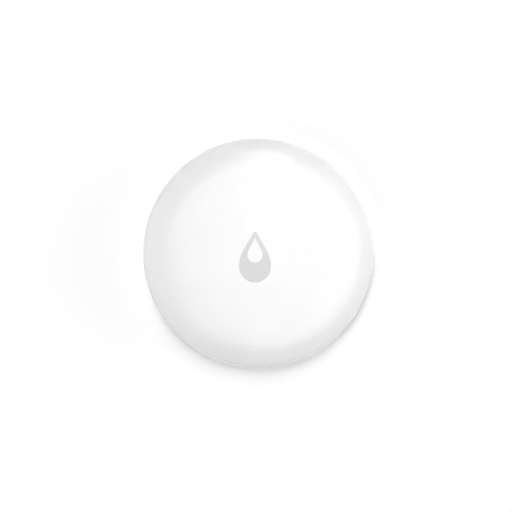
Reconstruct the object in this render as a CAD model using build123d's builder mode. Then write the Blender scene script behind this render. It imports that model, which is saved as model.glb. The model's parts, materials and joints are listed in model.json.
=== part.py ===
from build123d import *
from math import asin, cos, degrees, radians, sin, sqrt
import os

# Round water leak sensor for a floor: a glossy white pebble on two metal probes and two moulded feet.
# It is drawn from the inside out. The coin cell sets the battery cover, the cover sets the well round
# it, the well sets the probe circle, and the probes set the outer case.
# Sizes are in millimetres. Z is up, and the origin is on the floor under the middle of the crown.

# Coin cell
cell_diameter = 20.0
cell_thickness = 3.2
cell_edge_width = 0.4
cell_cap_rise = 0.25
cell_grommet_width = 0.5
cell_crimp_width = 0.8
cell_crimp_height = 0.5

# Battery cover: head, plug with a seal groove, and a cup with bayonet lugs
head_thickness = 1.2
head_overhang = 1.0
head_side_gap = 0.15
head_edge_width = 0.25
plug_length = 1.75
plug_overlap = 0.2
cup_floor_thickness = 2.0
cup_wall = 1.1
lug_count = 3
lug_reach = 1.0
lug_thickness = 1.0
lug_angle = 26.0
ledge_thickness = 0.9
slot_angle_margin = 3.0
lock_angle = 60.0
stop_angle = 6.0
stop_angle_gap = 1.0
first_lug_angle = 90.0
coin_slot_width = 2.2
coin_slot_length = 18.0
coin_slot_depth = 1.2
head_ring_inset = 1.6
head_ring_width = 0.5
head_ring_depth = 0.25
turn_clearance = 0.1
axial_clearance = 0.05
contact_room = 0.7
cell_lift = 0.2

# Seals
seal_groove_depth = 0.8
seal_groove_height = 1.1
seal_edge_width = 0.2
seal_gap = 0.03

# Base shell
foot_height = 0.8
foot_radius = 2.2
foot_chamfer = 0.3
floor_thickness = 1.6
well_wall = 1.45
well_foot_width = 0.5
well_foot_height = 0.8
well_headroom = 0.6
spigot_wall = 1.4
spigot_side_gap = 0.3
spigot_chamfer = 0.4
base_rim_gap = 0.2
window_bridge = 0.8
window_side_gap = 0.3
floor_rib_count = 8
floor_rib_thickness = 0.8
floor_rib_height = 1.0
tick_width = 0.6
tick_length = 1.4
tick_depth = 0.25
tick_inset = 1.1
body_groove_rise = 0.5

# Board posts
post_radius = 1.8
post_overlap = 0.2
pilot_radius = 0.72
pilot_depth = 3.4
pin_radius = 0.75
pin_rise = 0.7
pin_clearance = 0.1
screw_angles = (90.0, 270.0)
pin_angles = (135.0, 315.0)

# Probes, which are the two sensing screws
probe_head_radius = 2.0
probe_head_gap = 0.1
probe_head_depth = 0.8
probe_tip_radius = 1.5
probe_shank_radius = 1.0
probe_shank_gap = 0.1
probe_shank_rise = 0.5
probe_recess_width = 0.5
probe_recess_length = 2.0
probe_recess_depth = 0.6
probe_boss_radius = 2.2
probe_boss_gap = 0.3
probe_seal_width = 0.6
probe_seal_height = 0.6
nut_height = 1.3
nut_across_flats = 3.6
nut_gap = 0.1
thread_gap = 0.03

# Board and what stands on it
board_thickness = 1.0
board_edge_gap = 0.8
cell_contact_gap = 0.8
screw_head_radius = 1.5
screw_head_height = 0.9
screw_shank_radius = 0.7
screw_length = 4.0
screw_recess_width = 0.4
screw_recess_length = 1.6
screw_recess_depth = 0.45
screw_hole_gap = 0.2

# Tact switch under the crown
switch_width = 6.0
switch_body_height = 3.1
switch_corner = 0.6
switch_frame_thickness = 0.3
switch_frame_inset = 0.1
switch_cavity_radius = 2.5
switch_cavity_height = 1.8
plunger_radius = 1.65
plunger_rise = 0.9
plunger_flange_radius = 2.2
plunger_flange_height = 0.6
plunger_side_gap = 0.1
plunger_nib_radius = 0.8
plunger_edge_width = 0.25
snap_radius = 2.35
snap_height = 0.55
snap_thickness = 0.1
terminal_width = 0.7
terminal_thickness = 0.2
terminal_reach = 1.2
terminal_pitch = 4.5
terminal_bend_radius = 0.25

# Contacts of the cell
leaf_thickness = 0.2
leaf_width = 3.0
leaf_foot_length = 2.6
leaf_bend_radius = 0.35
leaf_contact_gap = 0.03
leaf_drop = 2.3
leaf_set = 0.3
spring_plate_radius = 4.2
spring_plate_thickness = 0.2
spring_finger_width = 1.4
spring_finger_thickness = 0.15
spring_window_margin = 0.4
spring_bend_radius = 0.5

# Parts on the board
radio_width = 6.0
radio_height = 0.9
radio_dot_radius = 0.4
radio_dot_depth = 0.15
crystal_length = 3.2
crystal_width = 2.5
crystal_height = 0.7
crystal_lid_inset = 0.25
crystal_lid_height = 0.15
capacitor_length = 1.6
capacitor_width = 0.8
capacitor_height = 0.8
resistor_length = 1.6
resistor_width = 0.8
resistor_height = 0.45
end_cap_share = 0.2
end_cap_step = 0.05
led_length = 3.2
led_width = 1.6
led_base_height = 0.5
led_lens_height = 0.6
led_lens_inset = 0.4
trace_width = 0.6
trace_thickness = 0.1
trace_leg_count = 7
trace_span_share = 0.42
trace_low_share = 0.53
trace_high_share = 0.74
radio_place_share = (-0.47, 0.12)
crystal_place_share = (-0.47, -0.2)
led_place_share = (0.0, 0.3)
capacitor_place_shares = (
    (0.32, 0.3),
    (0.32, 0.18),
    (0.45, 0.3),
    (0.45, 0.18),
    (-0.28, -0.42),
    (-0.14, -0.42),
    (0.28, -0.46),
    (-0.47, -0.36),
)
resistor_place_shares = (
    (0.35, -0.14),
    (0.35, -0.26),
    (0.5, -0.14),
    (0.5, -0.26),
    (0.0, -0.42),
    (0.14, -0.42),
    (-0.28, 0.36),
    (-0.66, -0.28),
)

# Top cover
crown_thickness = 1.6
press_travel = 0.25
press_clearance = 0.15
post_gap = 0.03
switch_post_radius = 2.0
switch_post_length = 1.07
skirt_wall = 2.25
cover_rim_height = 3.2
rim_edge_width = 0.3
hook_count = 4
hook_width = 5.0
hook_arm_thickness = 1.0
hook_arm_gap = 0.3
hook_nose_reach = 1.1
hook_nose_height = 0.9
hook_top_gap = 0.05
rib_count = 8
rib_thickness = 0.8
rib_depth = 1.0
rib_inner_radius = 5.0
rib_ring_thickness = 0.9

# Outline of the case: three tangent arcs from the axis down to the equator, and a quarter circle below it.
# Each end angle is the slope at which an upper arc passes into the next.
equator_height = 5.6
crown_end_angle = 21.0
shoulder_end_angle = 45.0
rim_arc_radius = 4.0

cut_overrun = 1.0

# Radii, from the cell outwards
cell_radius = cell_diameter / 2
cup_inner_radius = cell_radius + contact_room
cup_radius = cup_inner_radius + cup_wall
ledge_radius = cup_radius + turn_clearance
lug_radius = cup_radius + lug_reach
chamber_radius = lug_radius + turn_clearance
plug_radius = lug_radius + plug_overlap
bore_radius = plug_radius + turn_clearance
head_radius = plug_radius + head_overhang
recess_radius = head_radius + head_side_gap
well_radius = bore_radius + well_wall
well_foot_radius = well_radius + well_foot_width
probe_circle_radius = well_foot_radius + probe_boss_gap + probe_boss_radius
hook_arm_inner = probe_circle_radius + probe_boss_radius
hook_arm_outer = hook_arm_inner + hook_arm_thickness
spigot_inner_radius = hook_arm_outer + hook_arm_gap
spigot_radius = spigot_inner_radius + spigot_wall
skirt_radius = spigot_radius + spigot_side_gap
body_radius = skirt_radius + skirt_wall
board_radius = hook_arm_inner - board_edge_gap
post_circle_radius = well_radius + post_radius - post_overlap

# Heights, from the floor upwards
underside = foot_height
head_top = underside + head_thickness
recess_top = head_top + axial_clearance
plug_top = head_top + plug_length
ledge_bottom = plug_top + axial_clearance
ledge_top = ledge_bottom + ledge_thickness
lug_bottom = ledge_top + axial_clearance
cup_top = lug_bottom + lug_thickness
cup_floor_top = underside + cup_floor_thickness
cell_bottom = cup_floor_top + cell_lift
cell_top = cell_bottom + cell_thickness
board_bottom = cell_top + cell_contact_gap
board_top = board_bottom + board_thickness
switch_body_top = board_top + switch_body_height
switch_frame_top = switch_body_top + switch_frame_thickness
plunger_top = switch_frame_top + plunger_rise
switch_post_bottom = plunger_top + post_gap
ceiling = switch_post_bottom + switch_post_length
body_height = ceiling + crown_thickness
floor_top = underside + floor_thickness
well_top = board_bottom - well_headroom
base_rim_height = cover_rim_height - press_travel - base_rim_gap
crown_rise = body_height - equator_height
tuck_radius = equator_height - underside
underside_radius = body_radius - tuck_radius

# Radii of the crown's two upper arcs, from the reach and the drop that they have to cover
crown_sine = sin(radians(crown_end_angle))
crown_cosine = cos(radians(crown_end_angle))
shoulder_sine = sin(radians(shoulder_end_angle))
shoulder_cosine = cos(radians(shoulder_end_angle))
sine_step = shoulder_sine - crown_sine
cosine_step = crown_cosine - shoulder_cosine
arc_reach = body_radius - rim_arc_radius * (1 - shoulder_sine)
arc_drop = crown_rise - rim_arc_radius * shoulder_cosine
divisor = crown_sine * cosine_step - (1 - crown_cosine) * sine_step
crown_arc_radius = (arc_reach * cosine_step - arc_drop * sine_step) / divisor
shoulder_arc_radius = (arc_drop * crown_sine - arc_reach * (1 - crown_cosine)) / divisor
centre_step = crown_arc_radius - shoulder_arc_radius
upright_angle = 90

# Each arc of the crown: its centre's distance from the axis and height, its radius and its end angle
crown_arcs = (
    (0, body_height - crown_arc_radius, crown_arc_radius, crown_end_angle),
    (
        centre_step * crown_sine,
        body_height - crown_arc_radius + centre_step * crown_cosine,
        shoulder_arc_radius,
        shoulder_end_angle,
    ),
    (body_radius - rim_arc_radius, equator_height, rim_arc_radius, upright_angle),
)


def crown_height(radius, inset=0):
    """Height of the crown, or of a surface inset under it, at a distance from the axis."""
    for centre_x, centre_z, arc_radius, end_angle in crown_arcs:
        inset_radius = arc_radius - inset
        if radius <= centre_x + inset_radius * sin(radians(end_angle)):
            break
    return centre_z + sqrt(inset_radius**2 - (radius - centre_x) ** 2)


def crown_line(inset=0, reach=None):
    """Arcs of the crown, or of a surface inset under it, from the axis to the equator or to a distance."""
    angle = 0
    for centre_x, centre_z, arc_radius, end_angle in crown_arcs:
        inset_radius = arc_radius - inset
        last = reach is not None and reach < centre_x + inset_radius * sin(radians(end_angle))
        if last:
            end_angle = degrees(asin((reach - centre_x) / inset_radius))
        start_angle = upright_angle - angle
        CenterArc((centre_x, centre_z), inset_radius, start_angle, angle - end_angle)
        angle = end_angle
        if last:
            break


def tuck_angle(height):
    """Angle on the tucked-in lower quarter circle at a height."""
    return degrees(asin((equator_height - height) / tuck_radius))


spigot_top = crown_height(spigot_radius, crown_thickness) - press_travel - press_clearance
window_top = spigot_top - window_bridge
nose_top = window_top - hook_top_gap
nose_bottom = nose_top - hook_nose_height
window_bottom = nose_bottom - press_travel - press_clearance
body_groove_bottom = base_rim_height + body_groove_rise


def radial_plane(angle):
    """Upright plane through the axis: local X runs outwards, local Y runs up."""
    outwards = (cos(radians(angle)), sin(radians(angle)), 0)
    return Plane(origin=(0, 0, 0), x_dir=outwards, z_dir=(outwards[1], -outwards[0], 0))


def disc(radius, bottom, top, mode=Mode.ADD):
    """Round solid about the Z axis, between two heights."""
    with Locations((0, 0, bottom)):
        Cylinder(radius, top - bottom, align=(Align.CENTER, Align.CENTER, Align.MIN), mode=mode)


def sector(inner, outer, middle_angle, span, height):
    """Sector of a ring, drawn flat at a height."""
    with BuildSketch(Plane.XY.offset(height)) as piece:
        with BuildLine():
            start, end = middle_angle - span / 2, middle_angle + span / 2
            near = CenterArc((0, 0), inner, start, span)
            far = CenterArc((0, 0), outer, start, span)
            Line(near @ 0, far @ 0)
            Line(near @ 1, far @ 1)
        make_face()
    return piece.sketch


def spots(circle_radius, angles):
    """Places on a circle about the axis."""
    return [(circle_radius * cos(radians(a)), circle_radius * sin(radians(a))) for a in angles]


def board_spot(share):
    """Place on the board, from its shares of the board's radius."""
    return (share[0] * board_radius, share[1] * board_radius)


def finish(piece, name):
    """Names a finished piece and writes it."""
    piece.part.label = name
    export_step(piece.part, f"parts/{name}.step")


os.makedirs("parts", exist_ok=True)
probe_sides = (("left", -1), ("right", 1))
lug_angles = [first_lug_angle + n * 360 / lug_count for n in range(lug_count)]
hook_angles = [(n + 1 / 2) * 360 / hook_count for n in range(hook_count)]

# Top cover: one glossy moulding with a low crown, an upright skirt bore, snap hooks and a switch post
with BuildPart() as top_cover:
    with BuildSketch(Plane.XZ):
        with BuildLine():
            crown_line()
            tuck = CenterArc(
                (underside_radius, equator_height), tuck_radius, 0, -tuck_angle(cover_rim_height)
            )
            Polyline(
                tuck @ 1,
                (skirt_radius, cover_rim_height),
                (skirt_radius, crown_height(skirt_radius, crown_thickness)),
            )
            crown_line(crown_thickness, skirt_radius)
            Line((0, ceiling), (0, body_height))
        make_face()
    revolve(axis=Axis.Z)
    rim_edges = top_cover.edges().filter_by(GeomType.CIRCLE).group_by(Axis.Z)[0]
    chamfer(rim_edges, rim_edge_width)

    # Ribs under the crown, which stop short of the hooks
    rib_top_inset = crown_thickness / 2
    rib_bottom_inset = crown_thickness + rib_depth
    for n in range(rib_count):
        with BuildSketch(radial_plane((n + 1 / 2) * 360 / rib_count)):
            with BuildLine():
                crown_line(rib_top_inset, hook_arm_inner)
                crown_line(rib_bottom_inset, hook_arm_inner)
                for place in (0, hook_arm_inner):
                    Line(
                        (place, crown_height(place, rib_top_inset)),
                        (place, crown_height(place, rib_bottom_inset)),
                    )
            make_face()
            with Locations((rib_inner_radius / 2, body_height / 2)):
                Rectangle(rib_inner_radius, body_height, mode=Mode.SUBTRACT)
    extrude(amount=rib_thickness / 2, both=True)
    with BuildSketch(Plane.XY.offset(ceiling - rib_depth)):
        Circle(rib_inner_radius + rib_ring_thickness)
        Circle(rib_inner_radius, mode=Mode.SUBTRACT)
    extrude(amount=rib_depth + crown_thickness / 2)

    # Post over the switch
    disc(switch_post_radius, switch_post_bottom, ceiling + crown_thickness / 2)

    # Snap hooks, each a short arm with a nose that catches in a window of the base's spigot
    arm_top = (crown_height(hook_arm_inner, crown_thickness) + crown_height(hook_arm_outer)) / 2
    for angle in hook_angles:
        with BuildSketch(radial_plane(angle)):
            with BuildLine():
                Polyline(
                    (hook_arm_inner, nose_bottom),
                    (hook_arm_outer, nose_bottom),
                    (hook_arm_outer + hook_nose_reach, nose_top - hook_nose_height / 4),
                    (hook_arm_outer + hook_nose_reach, nose_top),
                    (hook_arm_outer, nose_top),
                    (hook_arm_outer, arm_top),
                    (hook_arm_inner, arm_top),
                    close=True,
                )
            make_face()
    extrude(amount=hook_width / 2, both=True)
finish(top_cover, "top_cover")

# Base shell: a shallow dish with the spigot for the cover, the battery well, the probe bosses and the feet
with BuildPart() as base_shell:
    with BuildSketch(Plane.XZ):
        with BuildLine():
            tuck = CenterArc(
                (underside_radius, equator_height), tuck_radius, -90, 90 - tuck_angle(base_rim_height)
            )
            Polyline(
                tuck @ 1,
                (spigot_radius, base_rim_height),
                (spigot_radius, spigot_top),
                (spigot_inner_radius, spigot_top),
                (spigot_inner_radius, floor_top),
                (0, floor_top),
                (0, underside),
                tuck @ 0,
            )
        make_face()
    revolve(axis=Axis.Z)
    spigot_lip = base_shell.edges().filter_by(GeomType.CIRCLE).group_by(Axis.Z)[-1]
    chamfer(spigot_lip.sort_by(SortBy.RADIUS)[-1], spigot_chamfer)

    # Groove for the body gasket
    with BuildSketch(Plane.XY.offset(body_groove_bottom)):
        Circle(spigot_radius + cut_overrun)
        Circle(spigot_radius - seal_groove_depth, mode=Mode.SUBTRACT)
    extrude(amount=seal_groove_height, mode=Mode.SUBTRACT)

    # Windows for the snap hooks
    for angle in hook_angles:
        with BuildSketch(radial_plane(angle)):
            with Locations(((spigot_inner_radius + spigot_radius) / 2, (window_bottom + window_top) / 2)):
                Rectangle(spigot_wall + cut_overrun, window_top - window_bottom)
    extrude(amount=hook_width / 2 + window_side_gap, both=True, mode=Mode.SUBTRACT)

    # Ribs on the floor, between the well and the spigot
    rib_length = spigot_inner_radius - well_radius + well_wall / 2
    rib_middle = (spigot_inner_radius + well_radius) / 2
    with BuildSketch(Plane.XY.offset(floor_top)):
        with PolarLocations(rib_middle, floor_rib_count, start_angle=180 / floor_rib_count):
            Rectangle(rib_length, floor_rib_thickness)
    extrude(amount=floor_rib_height)

    # Battery well
    disc(well_radius, floor_top, well_top)
    disc(well_foot_radius, floor_top, floor_top + well_foot_height)
    disc(recess_radius, underside - cut_overrun, recess_top, Mode.SUBTRACT)
    disc(bore_radius, recess_top, ledge_bottom, Mode.SUBTRACT)
    disc(ledge_radius, ledge_bottom, ledge_top, Mode.SUBTRACT)
    disc(chamber_radius, ledge_top, well_top, Mode.SUBTRACT)

    # Entry slots through the ledge, and stops that the lugs turn between
    for angle in lug_angles:
        extrude(
            sector(
                ledge_radius - turn_clearance,
                chamber_radius,
                angle - lock_angle,
                lug_angle + 2 * slot_angle_margin,
                ledge_bottom,
            ),
            amount=ledge_thickness,
            mode=Mode.SUBTRACT,
        )
        closed_stop = angle + lug_angle / 2 + stop_angle_gap + stop_angle / 2
        open_stop = angle - lock_angle - lug_angle / 2 - slot_angle_margin - stop_angle / 2
        for stop in (closed_stop, open_stop):
            extrude(
                sector(ledge_radius, chamber_radius + well_wall / 2, stop, stop_angle, ledge_top),
                amount=cup_top - ledge_top,
            )

    # Probe bosses with a head seat and a seal pocket
    probe_head_top = underside + probe_head_depth
    seal_pocket_top = probe_head_top + probe_seal_height + 2 * seal_gap
    probe_bore_radius = probe_shank_radius + probe_shank_gap
    seal_pocket_radius = probe_shank_radius + probe_seal_width + 2 * seal_gap
    boss_top = board_bottom - nut_height - nut_gap
    for x, y in spots(probe_circle_radius, (0, 180)):
        with Locations((x, y, 0)):
            disc(probe_boss_radius, floor_top, boss_top)
            disc(probe_bore_radius, underside - cut_overrun, boss_top + cut_overrun, Mode.SUBTRACT)
            disc(probe_head_radius + probe_head_gap, underside - cut_overrun, probe_head_top, Mode.SUBTRACT)
            disc(seal_pocket_radius, probe_head_top, seal_pocket_top, Mode.SUBTRACT)

    # Board posts: two take a screw, two locate the board with a pin
    with BuildSketch(Plane.XY.offset(floor_top)):
        with Locations(*spots(post_circle_radius, screw_angles + pin_angles)):
            Circle(post_radius)
    extrude(amount=board_bottom - floor_top)
    with BuildSketch(Plane.XY.offset(board_bottom)):
        with Locations(*spots(post_circle_radius, pin_angles)):
            Circle(pin_radius)
    extrude(amount=board_thickness + pin_rise)
    with BuildSketch(Plane.XY.offset(board_bottom)):
        with Locations(*spots(post_circle_radius, screw_angles)):
            Circle(pilot_radius)
    extrude(amount=-pilot_depth, mode=Mode.SUBTRACT)

    # Feet level with the probe tips
    with BuildSketch(Plane.XY):
        with Locations(*spots(probe_circle_radius, (90, 270))):
            Circle(foot_radius)
    extrude(amount=underside)
    foot_edges = base_shell.edges().filter_by(GeomType.CIRCLE).group_by(Axis.Z)[0]
    chamfer(foot_edges, foot_chamfer)

    # Closed and open ticks beside the battery cover
    tick_angles = (first_lug_angle, first_lug_angle - lock_angle)
    with BuildSketch(Plane.XY.offset(underside)):
        for angle in tick_angles:
            with Locations(Location(spots(recess_radius + tick_inset, (angle,))[0], angle)):
                Rectangle(tick_length, tick_width)
    extrude(amount=tick_depth, mode=Mode.SUBTRACT)
finish(base_shell, "base_shell")

# Battery cover: a coin-slotted head over a sealed plug, with a cup round the cell and three lugs
with BuildPart() as battery_cover:
    disc(head_radius, underside, head_top)
    chamfer(battery_cover.edges().group_by(Axis.Z)[0], head_edge_width)
    disc(plug_radius, head_top, plug_top)
    disc(cup_radius, plug_top, cup_top)
    disc(cup_inner_radius, cup_floor_top, cup_top, Mode.SUBTRACT)
    groove_bottom = head_top + (plug_length - seal_groove_height) / 2
    with BuildSketch(Plane.XY.offset(groove_bottom)):
        Circle(plug_radius + cut_overrun)
        Circle(plug_radius - seal_groove_depth, mode=Mode.SUBTRACT)
    extrude(amount=seal_groove_height, mode=Mode.SUBTRACT)
    for angle in lug_angles:
        lug = sector(cup_radius - cup_wall / 2, lug_radius, angle, lug_angle, lug_bottom)
        extrude(lug, amount=lug_thickness)

    # Coin slot, with the arched floor that a coin leaves
    slot_arc_radius = ((coin_slot_length / 2) ** 2 + coin_slot_depth**2) / (2 * coin_slot_depth)
    with BuildSketch(Plane.XZ):
        with Locations((0, underside + coin_slot_depth - slot_arc_radius)):
            Circle(slot_arc_radius)
    extrude(amount=coin_slot_width / 2, both=True, mode=Mode.SUBTRACT)

    # Shallow ring groove and index tick on the head
    ring_radius = head_radius - head_ring_inset
    with BuildSketch(Plane.XY.offset(underside)):
        Circle(ring_radius)
        Circle(ring_radius - head_ring_width, mode=Mode.SUBTRACT)
        with Locations(Location(spots(head_radius - tick_inset, (first_lug_angle,))[0], first_lug_angle)):
            Rectangle(tick_length, tick_width)
    extrude(amount=head_ring_depth, mode=Mode.SUBTRACT)
finish(battery_cover, "battery_cover")

# Square-cut ring in the battery cover's groove, with its outer edges chamfered
with BuildPart() as battery_cover_seal:
    with BuildSketch(Plane.XY.offset(groove_bottom + seal_gap)):
        Circle(bore_radius - seal_gap)
        Circle(plug_radius - seal_groove_depth + seal_gap, mode=Mode.SUBTRACT)
    extrude(amount=seal_groove_height - 2 * seal_gap)
    seal_edges = battery_cover_seal.edges().filter_by(GeomType.CIRCLE).group_by(SortBy.RADIUS)[-1]
    chamfer(seal_edges, seal_edge_width)
finish(battery_cover_seal, "battery_cover_seal")

# Body gasket: a silicone band with two pointed lips that run on the cover's skirt
with BuildPart() as body_gasket:
    band_inner = spigot_radius - seal_groove_depth + seal_gap
    lip_reach = seal_groove_height / 4 - seal_gap
    band_outer = skirt_radius - seal_gap - lip_reach
    with BuildSketch(Plane.XZ):
        with Locations(((band_inner + band_outer) / 2, body_groove_bottom + seal_groove_height / 2)):
            Rectangle(band_outer - band_inner, seal_groove_height - 2 * seal_gap)
        for share in (1 / 4, 3 / 4):
            with Locations((band_outer, body_groove_bottom + seal_groove_height * share)):
                RegularPolygon(lip_reach, 4)
    revolve(axis=Axis.Z)
finish(body_gasket, "body_gasket")

# Probes with their seals and the brass nuts under the board
for side, sign in probe_sides:
    probe_x = sign * probe_circle_radius

    with BuildPart() as probe:
        with Locations((probe_x, 0, 0)):
            disc(probe_head_radius, 0, probe_head_top)
            disc(probe_shank_radius, probe_head_top, board_top + probe_shank_rise)
        chamfer(probe.edges().group_by(Axis.Z)[0], foot_height / 2, probe_head_radius - probe_tip_radius)
        chamfer(probe.edges().group_by(Axis.Z)[-1], probe_shank_radius / 4)
        with BuildSketch(Plane.XY):
            with Locations((probe_x, 0)):
                Rectangle(probe_recess_length, probe_recess_width, rotation=45)
                Rectangle(probe_recess_length, probe_recess_width, rotation=-45)
        extrude(amount=probe_recess_depth, mode=Mode.SUBTRACT)
    finish(probe, f"probe_{side}")

    with BuildPart() as probe_seal:
        with BuildSketch(Plane.XY.offset(probe_head_top + seal_gap)):
            with Locations((probe_x, 0)):
                Circle(probe_shank_radius + seal_gap + probe_seal_width)
                Circle(probe_shank_radius + seal_gap, mode=Mode.SUBTRACT)
        extrude(amount=probe_seal_height)
    finish(probe_seal, f"probe_seal_{side}")

    with BuildPart() as probe_nut:
        with BuildSketch(Plane.XY.offset(board_bottom - nut_height)):
            with Locations((probe_x, 0)):
                RegularPolygon(nut_across_flats / 2, 6, major_radius=False)
                Circle(probe_shank_radius + thread_gap, mode=Mode.SUBTRACT)
        extrude(amount=nut_height)
    finish(probe_nut, f"probe_nut_{side}")

# Circuit board with holes for the probes, the screws and the pins
with BuildPart() as circuit_board:
    with BuildSketch(Plane.XY.offset(board_bottom)):
        Circle(board_radius)
        with Locations(*spots(probe_circle_radius, (0, 180))):
            Circle(probe_shank_radius + probe_shank_gap, mode=Mode.SUBTRACT)
        with Locations(*spots(post_circle_radius, screw_angles)):
            Circle(screw_shank_radius + screw_hole_gap, mode=Mode.SUBTRACT)
        with Locations(*spots(post_circle_radius, pin_angles)):
            Circle(pin_radius + pin_clearance, mode=Mode.SUBTRACT)
    extrude(amount=board_thickness)
finish(circuit_board, "circuit_board")

# Two pan-head screws that hold the board down
with BuildPart() as board_screws:
    for x, y in spots(post_circle_radius, screw_angles):
        with Locations((x, y, 0)):
            disc(screw_head_radius, board_top, board_top + screw_head_height)
            disc(screw_shank_radius, board_top + screw_head_height - screw_length, board_top)
    chamfer(board_screws.edges().group_by(Axis.Z)[-1], screw_head_height / 2)
    with BuildSketch(Plane.XY.offset(board_top + screw_head_height)):
        with Locations(*spots(post_circle_radius, screw_angles)):
            Rectangle(screw_recess_length, screw_recess_width)
            Rectangle(screw_recess_width, screw_recess_length)
    extrude(amount=-screw_recess_depth, mode=Mode.SUBTRACT)
finish(board_screws, "board_screws")

# Coin cell: the steel can, the grommet and the raised cap
grommet_radius = cell_radius - cell_crimp_width
cap_radius = grommet_radius - cell_grommet_width
can_top = cell_top - cell_cap_rise
with BuildPart() as cell_can:
    disc(cell_radius, cell_bottom, can_top)
    chamfer(cell_can.edges().filter_by(GeomType.CIRCLE), cell_edge_width)
    disc(grommet_radius, can_top - cell_crimp_height, can_top, Mode.SUBTRACT)
finish(cell_can, "cell_can")

with BuildPart() as cell_grommet:
    with BuildSketch(Plane.XY.offset(can_top - cell_crimp_height)):
        Circle(grommet_radius - seal_gap)
        Circle(cap_radius + seal_gap, mode=Mode.SUBTRACT)
    extrude(amount=cell_crimp_height)
finish(cell_grommet, "cell_grommet")

with BuildPart() as cell_cap:
    disc(cap_radius, can_top - cell_crimp_height, cell_top)
    chamfer(cell_cap.edges().group_by(Axis.Z)[-1], cell_cap_rise)
finish(cell_cap, "cell_cap")

# Leaves on the can, one at each side, soldered under the board
for name, angle in (("front", -90), ("back", 90)):
    with BuildPart() as contact_positive:
        foot_height_line = board_bottom - leaf_thickness / 2
        contact_x = cell_radius + leaf_contact_gap + leaf_thickness / 2
        with BuildSketch(radial_plane(angle)):
            with BuildLine():
                FilletPolyline(
                    (contact_x + leaf_set + leaf_foot_length, foot_height_line),
                    (contact_x + leaf_set, foot_height_line),
                    (contact_x, foot_height_line - leaf_drop * 2 / 3),
                    (contact_x + leaf_set, foot_height_line - leaf_drop),
                    radius=leaf_bend_radius,
                )
            trace(line_width=leaf_thickness)
        extrude(amount=leaf_width / 2, both=True)
    finish(contact_positive, f"contact_positive_{name}")

# Spring plate over the cell's cap, with two fingers cut from it and bent down
with BuildPart() as contact_negative:
    finger_root = spring_plate_radius - spring_window_margin
    finger_line = board_bottom - spring_plate_thickness / 2
    finger_low = cell_top + leaf_contact_gap + spring_finger_thickness / 2
    with BuildSketch(Plane.XY.offset(board_bottom - spring_plate_thickness)):
        Circle(spring_plate_radius)
        Rectangle(
            2 * finger_root,
            spring_finger_width + 2 * spring_window_margin,
            mode=Mode.SUBTRACT,
        )
    extrude(amount=spring_plate_thickness)
    for angle in (0, 180):
        with BuildSketch(radial_plane(angle)):
            with BuildLine():
                FilletPolyline(
                    (spring_plate_radius - spring_window_margin / 2, finger_line),
                    (finger_root - spring_window_margin, finger_line),
                    (finger_root / 3, finger_low),
                    (finger_root / 6, (finger_low + finger_line) / 2),
                    radius=spring_bend_radius,
                )
            trace(line_width=spring_finger_thickness)
    extrude(amount=spring_finger_width / 2, both=True)
finish(contact_negative, "contact_negative")

# Tact switch: housing, steel frame, four terminals, snap dome and plunger
with BuildPart() as switch_housing:
    with BuildSketch(Plane.XY.offset(board_top)):
        Rectangle(switch_width, switch_width)
    extrude(amount=switch_body_height)
    chamfer(switch_housing.edges().filter_by(Axis.Z), switch_corner)
    disc(switch_cavity_radius, switch_body_top - switch_cavity_height, switch_body_top, Mode.SUBTRACT)
finish(switch_housing, "switch_housing")

with BuildPart() as switch_frame:
    frame_width = switch_width - 2 * switch_frame_inset
    with BuildSketch(Plane.XY.offset(switch_body_top)):
        Rectangle(frame_width, frame_width)
        Circle(plunger_radius + plunger_side_gap, mode=Mode.SUBTRACT)
    extrude(amount=switch_frame_thickness)
    chamfer(switch_frame.edges().filter_by(Axis.Z).filter_by(GeomType.LINE), switch_corner)
finish(switch_frame, "switch_frame")

with BuildPart() as switch_terminals:
    for side in (-1, 1):
        for row in (-1, 1):
            terminal_plane = Plane(
                origin=(0, row * terminal_pitch / 2, 0), x_dir=(side, 0, 0), z_dir=(0, -side, 0)
            )
            with BuildSketch(terminal_plane):
                with BuildLine():
                    half = switch_width / 2
                    low = board_top + terminal_thickness / 2
                    high = board_top + switch_body_height / 4
                    FilletPolyline(
                        (half, high),
                        (half + terminal_reach / 2, high),
                        (half + terminal_reach / 2, low),
                        (half + terminal_reach, low),
                        radius=terminal_bend_radius,
                    )
                trace(line_width=terminal_thickness)
    extrude(amount=terminal_width / 2, both=True)
finish(switch_terminals, "switch_terminals")

with BuildPart() as switch_dome:
    dome_floor = switch_body_top - switch_cavity_height
    dome_arc_radius = (snap_radius**2 + snap_height**2) / (2 * snap_height)
    with BuildSketch(Plane.XZ):
        with BuildLine():
            outer_arc = CenterArc(
                (0, dome_floor + snap_height - dome_arc_radius),
                dome_arc_radius,
                90,
                -degrees(asin(snap_radius / dome_arc_radius)),
            )
            inner_arc = CenterArc(
                (0, dome_floor + snap_height - dome_arc_radius),
                dome_arc_radius - snap_thickness,
                90,
                -degrees(asin(snap_radius / dome_arc_radius)),
            )
            Line(outer_arc @ 0, inner_arc @ 0)
            Line(outer_arc @ 1, inner_arc @ 1)
        make_face()
    revolve(axis=Axis.Z)
    split(bisect_by=Plane.XY.offset(dome_floor), keep=Keep.TOP)
finish(switch_dome, "switch_dome")

with BuildPart() as switch_plunger:
    flange_top = switch_body_top - plunger_side_gap
    flange_bottom = flange_top - plunger_flange_height
    snap_top = switch_body_top - switch_cavity_height + snap_height
    disc(plunger_nib_radius, snap_top + press_travel + post_gap, flange_bottom)
    disc(plunger_flange_radius, flange_bottom, flange_top)
    disc(plunger_radius, flange_top, plunger_top)
    chamfer(switch_plunger.edges().group_by(Axis.Z)[-1], plunger_edge_width)
finish(switch_plunger, "switch_plunger")

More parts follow.
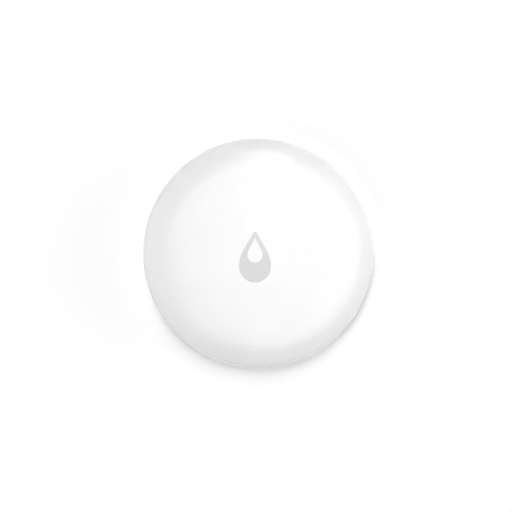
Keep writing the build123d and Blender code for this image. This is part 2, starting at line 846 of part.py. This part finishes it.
# Radio chip with its corner dot
with BuildPart() as radio_chip:
    radio_x, radio_y = board_spot(radio_place_share)
    with BuildSketch(Plane.XY.offset(board_top)):
        with Locations((radio_x, radio_y)):
            Rectangle(radio_width, radio_width)
    extrude(amount=radio_height)
    chamfer(radio_chip.edges().group_by(Axis.Z)[-1], radio_dot_depth)
    dot_x = radio_x - radio_width / 2 + 3 * radio_dot_radius
    dot_y = radio_y + radio_width / 2 - 3 * radio_dot_radius
    with BuildSketch(Plane.XY.offset(board_top + radio_height)):
        with Locations((dot_x, dot_y)):
            Circle(radio_dot_radius)
    extrude(amount=-radio_dot_depth, mode=Mode.SUBTRACT)
finish(radio_chip, "radio_chip")

# Crystal with its lid
with BuildPart() as crystal:
    with BuildSketch(Plane.XY.offset(board_top)):
        with Locations(board_spot(crystal_place_share)):
            Rectangle(crystal_length, crystal_width)
    extrude(amount=crystal_height)
    with BuildSketch(Plane.XY.offset(board_top + crystal_height)):
        with Locations(board_spot(crystal_place_share)):
            Rectangle(crystal_length - 2 * crystal_lid_inset, crystal_width - 2 * crystal_lid_inset)
    extrude(amount=crystal_lid_height)
finish(crystal, "crystal")


def chip_parts(place_shares, length, width, height):
    """Small two-ended chips, each with raised solder ends, at places on the board."""
    with BuildPart() as chips:
        with BuildSketch(Plane.XY.offset(board_top)):
            with Locations(*[board_spot(share) for share in place_shares]):
                Rectangle(length * (1 - end_cap_share), width - 2 * end_cap_step)
        extrude(amount=height - end_cap_step)
        with BuildSketch(Plane.XY.offset(board_top)):
            for share in place_shares:
                x, y = board_spot(share)
                for end in (-1, 1):
                    with Locations((x + end * length * (1 - end_cap_share) / 2, y)):
                        Rectangle(length * end_cap_share, width)
        extrude(amount=height)
    return chips


capacitors = chip_parts(capacitor_place_shares, capacitor_length, capacitor_width, capacitor_height)
finish(capacitors, "chip_capacitors")
resistors = chip_parts(resistor_place_shares, resistor_length, resistor_width, resistor_height)
finish(resistors, "chip_resistors")

# Indicator LED, which shines through the crown beside the switch
with BuildPart() as indicator_led:
    with BuildSketch(Plane.XY.offset(board_top)):
        with Locations(board_spot(led_place_share)):
            Rectangle(led_length, led_width)
    extrude(amount=led_base_height)
    with BuildSketch(Plane.XY.offset(board_top + led_base_height)):
        with Locations(board_spot(led_place_share)):
            Rectangle(led_length - 2 * led_lens_inset, led_width)
    extrude(amount=led_lens_height)
finish(indicator_led, "indicator_led")

# Printed antenna, a meander near the board's edge
with BuildPart() as antenna_trace:
    low = trace_low_share * board_radius
    high = trace_high_share * board_radius
    half_span = trace_span_share * board_radius
    step = 2 * half_span / (trace_leg_count - 1)
    points = []
    for leg in range(trace_leg_count):
        x = leg * step - half_span
        ends = (low, high) if leg % 2 == 0 else (high, low)
        points += [(x, ends[0]), (x, ends[1])]
    with BuildSketch(Plane.XY.offset(board_top)):
        with BuildLine():
            Polyline(*points)
        trace(line_width=trace_width)
    extrude(amount=trace_thickness)
finish(antenna_trace, "antenna_trace")

print(f"case {2 * body_radius:.2f} across, {body_height:.2f} high")
print(f"spigot to {spigot_top:.2f}, windows from {window_bottom:.2f} to {window_top:.2f}")
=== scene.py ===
import json
from math import cos, hypot, pi, radians, sin, sqrt, tan

import bpy
from mathutils import Matrix, Vector


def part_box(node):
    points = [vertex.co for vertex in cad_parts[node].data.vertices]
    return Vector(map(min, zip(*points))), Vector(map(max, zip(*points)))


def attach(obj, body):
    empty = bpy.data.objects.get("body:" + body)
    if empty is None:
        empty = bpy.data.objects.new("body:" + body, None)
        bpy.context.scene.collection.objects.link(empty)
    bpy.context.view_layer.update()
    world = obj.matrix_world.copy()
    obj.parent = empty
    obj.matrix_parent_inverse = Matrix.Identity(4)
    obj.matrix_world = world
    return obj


# Round water leak sensor: a glossy white pebble with a pale grey drop printed on its crown.
# Metres throughout. The floor is at z = 0, +Z is up, and the drop's point looks towards +Y.

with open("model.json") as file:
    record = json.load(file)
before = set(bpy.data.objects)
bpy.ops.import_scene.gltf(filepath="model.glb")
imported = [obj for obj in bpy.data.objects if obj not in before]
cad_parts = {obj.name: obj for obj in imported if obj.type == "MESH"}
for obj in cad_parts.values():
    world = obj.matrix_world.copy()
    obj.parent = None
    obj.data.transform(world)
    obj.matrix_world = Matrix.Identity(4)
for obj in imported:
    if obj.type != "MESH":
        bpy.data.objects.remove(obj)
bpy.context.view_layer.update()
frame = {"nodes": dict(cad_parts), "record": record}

MM = 0.001

# Case, from the frame
cover_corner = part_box("top_cover")[1]
CASE_RADIUS = cover_corner.x
CROWN_TOP = cover_corner.z
EQUATOR = 5.6 * MM

# View of the photograph: the case's outline in its 512 pixels, how far it lies from the middle, and the
# tilts that the drop's place shows
IMAGE_SIZE = 512
OUTLINE_RADIUS = 115.0
OUTLINE_RIGHT = 1.6
OUTLINE_UP = 1.9
TILT_RIGHT = radians(3.4)
TILT_UP = radians(3.9)
LENS = 100.0
SENSOR = 36.0
CLIP_START = 0.01

# Drop mark, and a smaller drop left open in it: each has its belly's radius, its belly's place along Y,
# how far its sides would meet from the belly's middle, how far they lean, and its point's radius
MARK_DROP = (3.37 * MM, -2.03 * MM, 7.8 * MM, radians(29.4), 0.42 * MM)
OPEN_DROP = (1.58 * MM, 0.42 * MM, 3.67 * MM, radians(27.4), 0.15 * MM)
# How far its film stands above the crown and its root goes under it, and how far out the crown is sampled
MARK_FILM = 0.008 * MM
MARK_ROOT = 0.03 * MM
CROWN_SAMPLE = 8.0 * MM
# Points along each part of a drop's outline, and rings of faces between the two drops
POINT_STEPS = 6
SIDE_STEPS = 16
SHOULDER_STEPS = 12
BELLY_STEPS = 48
MARK_RINGS = 8

# Colours, linear
WHITE_GLOSS = (0.885, 0.885, 0.885)
WHITE_SATIN = (0.83, 0.833, 0.836)
MARK_GREY = (0.592, 0.592, 0.592)
SILICONE_GREY = (0.5, 0.52, 0.54)
STEEL = (0.72, 0.72, 0.73)
NICKEL = (0.76, 0.75, 0.73)
TIN = (0.78, 0.78, 0.77)
BRASS = (0.72, 0.5, 0.22)
GOLD = (0.83, 0.6, 0.24)
BLACK = (0.03, 0.03, 0.033)
SOFT_BLACK = (0.08, 0.08, 0.085)
CERAMIC_TAN = (0.42, 0.27, 0.15)
MASK_GREEN = (0.012, 0.12, 0.045)
POUR_GREEN = (0.02, 0.2, 0.075)
PHOSPHOR = (0.83, 0.82, 0.7)
FLOOR_WHITE = (0.9, 0.9, 0.9)

# Moulded plastics: colour, roughness, size and depth of the grain, and depth of the long waves
PLASTICS = {
    "cover_gloss": (WHITE_GLOSS, 0.11, 0.35 * MM, 0.0003 * MM, 0.001 * MM),
    "base_matte": (WHITE_SATIN, 0.42, 0.09 * MM, 0.004 * MM, 0.0),
    "cell_plastic": (SOFT_BLACK, 0.5, 0.1 * MM, 0.003 * MM, 0.0),
    "switch_black": (BLACK, 0.45, 0.08 * MM, 0.004 * MM, 0.0),
    "chip_black": (BLACK, 0.6, 0.05 * MM, 0.005 * MM, 0.0),
    "led_lens": (PHOSPHOR, 0.12, 0.2 * MM, 0.0005 * MM, 0.0),
}
# Rolled metals: colour and roughness
ROLLED_METALS = {
    "nut_brass": (BRASS, 0.32),
    "screw_steel": (STEEL, 0.35),
    "cell_steel": (NICKEL, 0.28),
    "contact_plate": (GOLD, 0.25),
    "switch_steel": (STEEL, 0.3),
    "crystal_metal": (NICKEL, 0.25),
    "trace_gold": (GOLD, 0.3),
}
# Chips with tinned ends: colour, roughness and node
CHIPS = {
    "capacitor_tan": (CERAMIC_TAN, 0.4, "chip_capacitors"),
    "resistor_black": (SOFT_BLACK, 0.25, "chip_resistors"),
}
PROBE_ROUGHNESS = 0.18
MARK_ROUGHNESS = 0.3
RUBBER_ROUGHNESS = 0.5
BOARD_ROUGHNESS = (0.28, 0.4)
FLOOR_ROUGHNESS = 0.9

# How far each kind of finish strays from its colour, darkest and lightest, and from its roughness
SPREAD = {
    "moulded": (0.985, 1.01, 0.85, 1.2),
    "ink": (0.985, 1.015, 0.9, 1.1),
    "turned": (0.9, 1.04, 0.8, 1.4),
    "rolled": (0.93, 1.04, 0.8, 1.25),
    "rubber": (0.94, 1.05, 0.84, 1.16),
    "chip": (0.85, 1.15, 0.9, 1.2),
}

# Where most of a noise's values lie
NOISE_LOW = 0.35
NOISE_HIGH = 0.65

# Sizes of the finishes' features, depths of their relief, and the light that goes under the rubber's skin
COLOUR_DRIFT = 9 * MM
GLOSS_PATCH = 2.5 * MM
LONG_WAVE = 7 * MM
INK_GRAIN = 0.15 * MM
INK_DEPTH = 0.0006 * MM
RING_PITCH = 0.07 * MM
RING_DEPTH = 0.002 * MM
TARNISH = 0.9 * MM
ROLLED_LINE = 0.5 * MM
ROLLED_STRETCH = (1, 12, 1)
ROLLED_DEPTH = 0.001 * MM
RUBBER_CLOUD = 1.5 * MM
RUBBER_GRAIN = 0.06 * MM
RUBBER_DEPTH = 0.002 * MM
RUBBER_GLOW = 0.15
RUBBER_GLOW_DEPTH = 0.5 * MM
COPPER_POUR = 3.2 * MM
COPPER_DEPTH = 0.01 * MM
GLASS_WEAVE = 0.35 * MM
GLASS_DEPTH = 0.002 * MM
CHIP_SPECKLE = 0.08 * MM
CHIP_DEPTH = 0.002 * MM

# Where the copper starts and is full, from the middle line between two pours, as shares of a pour's size
POUR_EDGE = (0.03, 0.06)
# The wave node's own scale at which its rings are about 1 apart, and how far they wobble
RING_SCALE = 0.31
RING_WOBBLE = 0.5

# Small chips: how near its own corners lie, where its tinned ends are along X, and its half width along Y
CHIP_REACH = 1.9 * MM
CHIP_END = 0.66 * MM
CHIP_END_REACH = 0.19 * MM
CHIP_SIDE = 0.6 * MM

# Light: the world's level for the object, the level that is white, and what lifts the floor to white in the
# camera. The lift starts to grow at one distance from the object's middle, and is full white at another.
WORLD_LEVEL = 0.15
WHITE = 1.0
FLOOR_LIFT = 0.14
LIFT_NEAR = 0.12
LIFT_FAR = 0.6
FLOOR_SPAN = 6.0
# Each lamp: level, width, height, distance, angle from upright and azimuth
MATT_LAMPS = {
    "key": (17.6, 0.2, 0.3, 0.9, radians(17), radians(90)),
    "back": (4.6, 0.35, 0.35, 0.9, radians(40), radians(92)),
    "right": (4.3, 0.5, 0.5, 0.9, radians(75), radians(0)),
    "fill": (2.5, 0.6, 0.6, 0.9, radians(50), radians(225)),
}
GLOSS_LAMPS = {
    "face": (2.2, 2.1, 2.1, 0.5, radians(14), radians(10)),
    "strip": (3.0, 0.3, 0.33, 0.5, radians(58), radians(90)),
}
# How each gloss lamp fades: from a place on its face, full up to one distance from it and dark at another
FADES = {
    "face": ((0.5, 0.5, 0), 0.28, 0.5),
    "strip": ((0.2, 0, 0), 0.3, 1.0),
}


# Node helpers

def new_material(name):
    """A node material, its tree and its main shader."""
    material = bpy.data.materials.new(name)
    material.use_nodes = True
    return material, material.node_tree, material.node_tree.nodes["Principled BSDF"]


def add_node(tree, kind, **values):
    """A node whose inputs are set by name, and its other settings too."""
    node = tree.nodes.new(kind)
    for key, value in values.items():
        socket = key.replace("_", " ").title()
        if socket in node.inputs:
            node.inputs[socket].default_value = value
        else:
            setattr(node, key, value)
    return node


def calculate(tree, operation, *terms):
    """The result of a Math node on sockets and numbers."""
    node = add_node(tree, "ShaderNodeMath", operation=operation)
    for socket, term in zip(node.inputs, terms):
        if isinstance(term, (int, float)):
            socket.default_value = term
        else:
            tree.links.new(term, socket)
    return node.outputs[0]


def measure(tree, operation, place, origin=(0, 0, 0)):
    """The length of a place's vector, or its distance from an origin."""
    node = add_node(tree, "ShaderNodeVectorMath", operation=operation)
    node.inputs[1].default_value = origin
    tree.links.new(place, node.inputs[0])
    return node.outputs["Value"]


def surface_place(tree, scale, middle=(0, 0, 0)):
    """The piece's own coordinates in metres, from a middle, times a scale for each axis."""
    coordinates = add_node(tree, "ShaderNodeTexCoord")
    mapping = add_node(tree, "ShaderNodeMapping")
    mapping.inputs["Location"].default_value = [-m * s for m, s in zip(middle, scale)]
    mapping.inputs["Scale"].default_value = scale
    tree.links.new(coordinates.outputs["Object"], mapping.inputs["Vector"])
    return mapping.outputs["Vector"]


def noise(tree, size, detail=2.0, roughness=0.5, stretch=(1, 1, 1)):
    """Noise whose features measure about size, drawn out by stretch."""
    texture = add_node(tree, "ShaderNodeTexNoise", scale=1.0, detail=detail, roughness=roughness)
    tree.links.new(surface_place(tree, [axis / size for axis in stretch]), texture.inputs["Vector"])
    return texture.outputs["Fac"]


def number_range(tree, factor, low, high, start=NOISE_LOW, end=NOISE_HIGH):
    """A factor between start and end, spread from low to high."""
    node = add_node(
        tree, "ShaderNodeMapRange", from_min=start, from_max=end, to_min=low, to_max=high
    )
    tree.links.new(factor, node.inputs["Value"])
    return node.outputs["Result"]


def color_range(tree, factor, first, second, start=NOISE_LOW, end=NOISE_HIGH):
    """A factor between start and end, spread from one colour to another."""
    node = add_node(tree, "ShaderNodeValToRGB")
    for element, place, color in zip(node.color_ramp.elements, (start, end), (first, second)):
        element.position = place
        element.color = (*color, 1)
    tree.links.new(factor, node.inputs["Fac"])
    return node.outputs["Color"]


def bump(tree, height, depth, before=None):
    """Relief of a real depth, on top of an earlier one if there is one."""
    node = add_node(tree, "ShaderNodeBump", strength=1.0, distance=depth)
    tree.links.new(height, node.inputs["Height"])
    if before is not None:
        tree.links.new(before, node.inputs["Normal"])
    return node.outputs["Normal"]


def tones(tree, kind, color, factor):
    """A colour that strays as its kind of finish does."""
    darkest, lightest = SPREAD[kind][:2]
    shades = [tuple(channel * share for channel in color) for share in (darkest, lightest)]
    return color_range(tree, factor, *shades)


def wear(tree, kind, roughness, factor):
    """A roughness that strays as its kind of finish does."""
    glossiest, dullest = SPREAD[kind][2:]
    return number_range(tree, factor, roughness * glossiest, roughness * dullest)


def connect(tree, shader, color, roughness, normal):
    """Links what varies over the surface to the shader."""
    tree.links.new(color, shader.inputs["Base Color"])
    tree.links.new(roughness, shader.inputs["Roughness"])
    tree.links.new(normal, shader.inputs["Normal"])


# Materials

def moulded(name, color, roughness, grain_size, grain_depth, wave_depth):
    """Moulded plastic: slow drift of its colour, patches of wear in its gloss, and a tool-marked skin."""
    material, tree, shader = new_material(name)
    drift = noise(tree, COLOUR_DRIFT, detail=3.0)
    patches = noise(tree, GLOSS_PATCH, detail=6.0, roughness=0.65)
    skin = bump(tree, noise(tree, grain_size, detail=4.0, roughness=0.6), grain_depth)
    if wave_depth:
        skin = bump(tree, noise(tree, LONG_WAVE, detail=1.0), wave_depth, skin)
    color, roughness = tones(tree, "moulded", color, drift), wear(tree, "moulded", roughness, patches)
    connect(tree, shader, color, roughness, skin)
    return material


def ink(name, color, roughness):
    """Pad-printed ink: an even film with a fine grain."""
    material, tree, shader = new_material(name)
    film = noise(tree, INK_GRAIN, detail=3.0)
    color, roughness = tones(tree, "ink", color, film), wear(tree, "ink", roughness, film)
    connect(tree, shader, color, roughness, bump(tree, film, INK_DEPTH))
    return material


def turned_metal(name, color, roughness, middle):
    """Turned metal: fine rings round an upright axis, tarnished in patches."""
    material, tree, shader = new_material(name)
    rings = add_node(
        tree,
        "ShaderNodeTexWave",
        wave_type="RINGS",
        rings_direction="Z",
        scale=RING_SCALE,
        distortion=RING_WOBBLE,
    )
    place = surface_place(tree, (1 / RING_PITCH, 1 / RING_PITCH, 0), (*middle, 0))
    tree.links.new(place, rings.inputs["Vector"])
    tarnish = noise(tree, TARNISH, detail=5.0)
    color, roughness = tones(tree, "turned", color, tarnish), wear(tree, "turned", roughness, tarnish)
    connect(tree, shader, color, roughness, bump(tree, rings.outputs["Fac"], RING_DEPTH))
    shader.inputs["Metallic"].default_value = 1.0
    return material


def rolled_metal(name, color, roughness):
    """Rolled and pressed metal: faint lines along the strip and uneven gloss."""
    material, tree, shader = new_material(name)
    lines = noise(tree, ROLLED_LINE, detail=4.0, stretch=ROLLED_STRETCH)
    color, roughness = tones(tree, "rolled", color, lines), wear(tree, "rolled", roughness, lines)
    connect(tree, shader, color, roughness, bump(tree, lines, ROLLED_DEPTH))
    shader.inputs["Metallic"].default_value = 1.0
    return material


def rubber(name, color, roughness):
    """Silicone rubber: cloudy, and a little light goes under its skin."""
    material, tree, shader = new_material(name)
    cloud = noise(tree, RUBBER_CLOUD, detail=4.0)
    color, roughness = tones(tree, "rubber", color, cloud), wear(tree, "rubber", roughness, cloud)
    connect(tree, shader, color, roughness, bump(tree, noise(tree, RUBBER_GRAIN), RUBBER_DEPTH))
    shader.inputs["Subsurface Weight"].default_value = RUBBER_GLOW
    shader.inputs["Subsurface Scale"].default_value = RUBBER_GLOW_DEPTH
    return material


def laminate(name, mask, pour):
    """Board: green mask over copper pours, with the glass weave just showing."""
    material, tree, shader = new_material(name)
    cells = add_node(tree, "ShaderNodeTexVoronoi", feature="DISTANCE_TO_EDGE", scale=1.0)
    tree.links.new(surface_place(tree, [1 / COPPER_POUR] * 3), cells.inputs["Vector"])
    pours = number_range(tree, cells.outputs["Distance"], 0.0, 1.0, *POUR_EDGE)
    weave = noise(tree, GLASS_WEAVE, detail=1.0)
    connect(
        tree,
        shader,
        color_range(tree, pours, mask, pour, 0.0, 1.0),
        number_range(tree, weave, *BOARD_ROUGHNESS),
        bump(tree, pours, COPPER_DEPTH, bump(tree, weave, GLASS_DEPTH)),
    )
    return material


def chip_places(node):
    """Middles of a node's small chips, told apart by the space between them."""
    chips = []
    for vertex in sorted(tuple(v.co) for v in frame["nodes"][node].data.vertices):
        near = [c for c in chips if hypot(vertex[0] - c[0][0], vertex[1] - c[0][1]) < CHIP_REACH]
        if near:
            near[0].append(vertex)
        else:
            chips.append([vertex])
    return [[(min(axis) + max(axis)) / 2 for axis in zip(*corners)][:2] for corners in chips]


def chip(name, color, roughness, node):
    """A node's surface-mount chips: ceramic bodies with tinned ends that lie along X."""
    material, tree, shader = new_material(name)
    coordinates = add_node(tree, "ShaderNodeTexCoord")
    axes = add_node(tree, "ShaderNodeSeparateXYZ")
    tree.links.new(coordinates.outputs["Object"], axes.inputs["Vector"])
    ends = 0.0
    for x, y in chip_places(node):
        along = calculate(tree, "ABSOLUTE", calculate(tree, "SUBTRACT", axes.outputs["X"], x))
        across = calculate(tree, "COMPARE", axes.outputs["Y"], y, CHIP_SIDE)
        end = calculate(tree, "COMPARE", along, CHIP_END, CHIP_END_REACH)
        ends = calculate(tree, "MAXIMUM", calculate(tree, "MULTIPLY", end, across), ends)
    speckle = noise(tree, CHIP_SPECKLE, detail=3.0)
    mix = add_node(tree, "ShaderNodeMixRGB")
    mix.inputs["Color2"].default_value = (*TIN, 1)
    tree.links.new(ends, mix.inputs["Fac"])
    tree.links.new(tones(tree, "chip", color, speckle), mix.inputs["Color1"])
    roughness = wear(tree, "chip", roughness, speckle)
    connect(tree, shader, mix.outputs["Color"], roughness, bump(tree, speckle, CHIP_DEPTH))
    tree.links.new(ends, shader.inputs["Metallic"])
    return material


def dress_frame():
    """Gives every node of the frame its material."""
    by_slot = {
        "silicone": rubber("silicone", SILICONE_GREY, RUBBER_ROUGHNESS),
        "board_green": laminate("board_green", MASK_GREEN, POUR_GREEN),
    }
    for make, finishes in ((moulded, PLASTICS), (rolled_metal, ROLLED_METALS), (chip, CHIPS)):
        for slot, values in finishes.items():
            by_slot[slot] = make(slot, *values)
    slots = {part["node"]: part["material_slot"] for part in frame["record"]["subparts"]}
    for name, node in frame["nodes"].items():
        if slots[name] == "probe_steel":
            low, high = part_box(name)
            middle = (low + high) / 2
            finish = turned_metal(name, STEEL, PROBE_ROUGHNESS, (middle.x, middle.y))
        else:
            finish = by_slot[slots[name]]
        for holder in node.material_slots:
            holder.material = finish


# Drop mark

def crown_radius():
    """Radius of the sphere that the middle of the crown is part of, from a point of the frame's own mesh."""
    points = [vertex.co for vertex in frame["nodes"]["top_cover"].data.vertices]
    ring = [point for point in points if hypot(point.x, point.y) > CROWN_SAMPLE]
    top = max(ring, key=lambda point: point.z)
    drop = CROWN_TOP - top.z
    return (top.x**2 + top.y**2 + drop**2) / (2 * drop)


def crown_z(radius, x, y):
    """Height of the crown's surface over a point near its middle."""
    return CROWN_TOP - radius + sqrt(radius**2 - x * x - y * y)


def arc(middle, radius, start, end, steps):
    """Points along an arc, with both its ends."""
    turns = [start + (end - start) * n / steps for n in range(steps + 1)]
    return [middle + radius * Vector((cos(turn), sin(turn))) for turn in turns]


def drop_outline(radius, belly, point, lean, rounding):
    """Round a drop from its point by the right side: rounded point, straight side, shoulder and belly."""
    shoulder_radius = (point * sin(lean) - radius * cos(lean)) / (1 - cos(lean))
    top = arc(Vector((0, belly + point - rounding / sin(lean))), rounding, pi / 2, lean, POINT_STEPS)
    shoulder = arc(Vector((radius - shoulder_radius, belly)), shoulder_radius, lean, 0, SHOULDER_STEPS)
    side = [top[-1].lerp(shoulder[0], n / SIDE_STEPS) for n in range(1, SIDE_STEPS)]
    half = top + side + shoulder[:-1] + arc(Vector((0, belly)), radius, 0, -pi / 2, BELLY_STEPS)
    return half + [Vector((-p.x, p.y)) for p in reversed(half[1:-1])]


def drop_mark():
    """The printed drop as a thin closed film that follows the crown, with its root under the surface."""
    outer = drop_outline(*MARK_DROP)
    inner = drop_outline(*OPEN_DROP)
    count = len(outer)
    flat = [
        edge.lerp(opening, ring / MARK_RINGS)
        for ring in range(MARK_RINGS + 1)
        for edge, opening in zip(outer, inner)
    ]
    radius = crown_radius()
    vertices = [(p.x, p.y, crown_z(radius, p.x, p.y) + MARK_FILM) for p in flat]
    vertices += [(p.x, p.y, crown_z(radius, p.x, p.y) - MARK_ROOT) for p in flat]
    under = len(flat)
    last = MARK_RINGS * count
    faces = []
    for n in range(count):
        m = (n + 1) % count
        for ring in range(MARK_RINGS):
            a, b = ring * count + n, ring * count + m
            faces.append((a, b, b + count, a + count))
            faces.append((a + under, a + count + under, b + count + under, b + under))
        faces.append((m, n, n + under, m + under))
        faces.append((last + n, last + m, last + m + under, last + n + under))
    mesh = bpy.data.meshes.new("drop_mark")
    mesh.from_pydata(vertices, [], faces)
    mesh.validate()
    piece = bpy.data.objects.new("drop_mark", mesh)
    bpy.context.scene.collection.objects.link(piece)
    mesh.materials.append(ink("mark_grey", MARK_GREY, MARK_ROUGHNESS))
    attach(piece, "top_cover")


# Stage

def seen_directly(tree):
    """1 for a ray from the camera or through gloss or glass, and 0 for a ray that lights the object."""
    path = add_node(tree, "ShaderNodeLightPath")
    seen = calculate(tree, "ADD", path.outputs["Is Camera Ray"], path.outputs["Is Glossy Ray"])
    seen = calculate(tree, "ADD", seen, path.outputs["Is Transmission Ray"])
    return calculate(tree, "MINIMUM", seen, 1.0)


def studio_world():
    """White where it is seen, and a plain soft level where it lights the object."""
    world = bpy.data.worlds.new("studio")
    bpy.context.scene.world = world
    world.use_nodes = True
    tree = world.node_tree
    background = tree.nodes["Background"]
    background.inputs["Color"].default_value = (1, 1, 1, 1)
    level = number_range(tree, seen_directly(tree), WORLD_LEVEL, WHITE, 0.0, 1.0)
    tree.links.new(level, background.inputs["Strength"])


def floor():
    """Pale floor that keeps the shadow and reads as white, far from the lamps too."""
    half = FLOOR_SPAN / 2
    mesh = bpy.data.meshes.new("floor")
    corners = [(-half, -half, 0), (half, -half, 0), (half, half, 0), (-half, half, 0)]
    mesh.from_pydata(corners, [], [(0, 1, 2, 3)])
    plane = bpy.data.objects.new("floor", mesh)
    bpy.context.scene.collection.objects.link(plane)
    material, tree, shader = new_material("floor")
    shader.inputs["Base Color"].default_value = (*FLOOR_WHITE, 1)
    shader.inputs["Roughness"].default_value = FLOOR_ROUGHNESS
    shader.inputs["Specular IOR Level"].default_value = 0.0
    shader.inputs["Emission Color"].default_value = (1, 1, 1, 1)
    distance = measure(tree, "LENGTH", surface_place(tree, (1, 1, 1)))
    level = number_range(tree, distance, FLOOR_LIFT, WHITE, LIFT_NEAR, LIFT_FAR)
    lift = calculate(tree, "MULTIPLY", seen_directly(tree), level)
    tree.links.new(lift, shader.inputs["Emission Strength"])
    mesh.materials.append(material)


def lamp(name, level, width, height, distance, polar, azimuth):
    """A soft box that faces the crown from a distance, as bright as its level."""
    light = bpy.data.lights.new(name, "AREA")
    light.shape = "RECTANGLE"
    light.size = width
    light.size_y = height
    light.energy = level * pi * width * height
    holder = bpy.data.objects.new(name, light)
    bpy.context.scene.collection.objects.link(holder)
    out = Vector((sin(polar) * cos(azimuth), sin(polar) * sin(azimuth), cos(polar)))
    holder.location = Vector((0, 0, CROWN_TOP)) + out * distance
    holder.rotation_mode = "QUATERNION"
    holder.rotation_quaternion = out.to_track_quat("Z", "Y")
    return holder


def fade(light, middle, full, dark):
    """Dims a lamp's face with the distance from a place on it, where the face is 1 wide and 1 high."""
    light.use_nodes = True
    tree = light.node_tree
    face = add_node(tree, "ShaderNodeNewGeometry")
    distance = measure(tree, "DISTANCE", face.outputs["Parametric"], middle)
    level = number_range(tree, distance, 1.0, 0.0, full, dark)
    tree.links.new(level, tree.nodes["Emission"].inputs["Strength"])


def lamps():
    """Soft boxes that light the matt skin, and others that only show as reflections in the gloss."""
    for name, values in MATT_LAMPS.items():
        lamp(name, *values).visible_glossy = False
    for name, values in GLOSS_LAMPS.items():
        holder = lamp(name, *values)
        holder.visible_diffuse = False
        fade(holder.data, *FADES[name])


def camera():
    """Long lens over the crown, tilted a little to the right and towards the drop's point."""
    pixel = CASE_RADIUS / OUTLINE_RADIUS
    distance = pixel * IMAGE_SIZE * LENS / SENSOR
    out = Vector((tan(TILT_RIGHT), tan(TILT_UP), 1)).normalized()
    up = (Vector((0, 1, 0)) - out * out.y).normalized()
    right = up.cross(out)
    data = bpy.data.cameras.new("camera")
    data.lens = LENS
    data.sensor_width = SENSOR
    data.clip_start = CLIP_START
    holder = bpy.data.objects.new("camera", data)
    bpy.context.scene.collection.objects.link(holder)
    middle = Vector((0, 0, EQUATOR)) - right * OUTLINE_RIGHT * pixel - up * OUTLINE_UP * pixel
    holder.location = middle + out * distance
    holder.rotation_mode = "QUATERNION"
    holder.rotation_quaternion = Matrix((right, up, out)).transposed().to_quaternion()
    bpy.context.scene.camera = holder


dress_frame()
drop_mark()
studio_world()
floor()
lamps()
camera()
bpy.context.scene.view_settings.view_transform = "Standard"

bpy.context.view_layer.update()
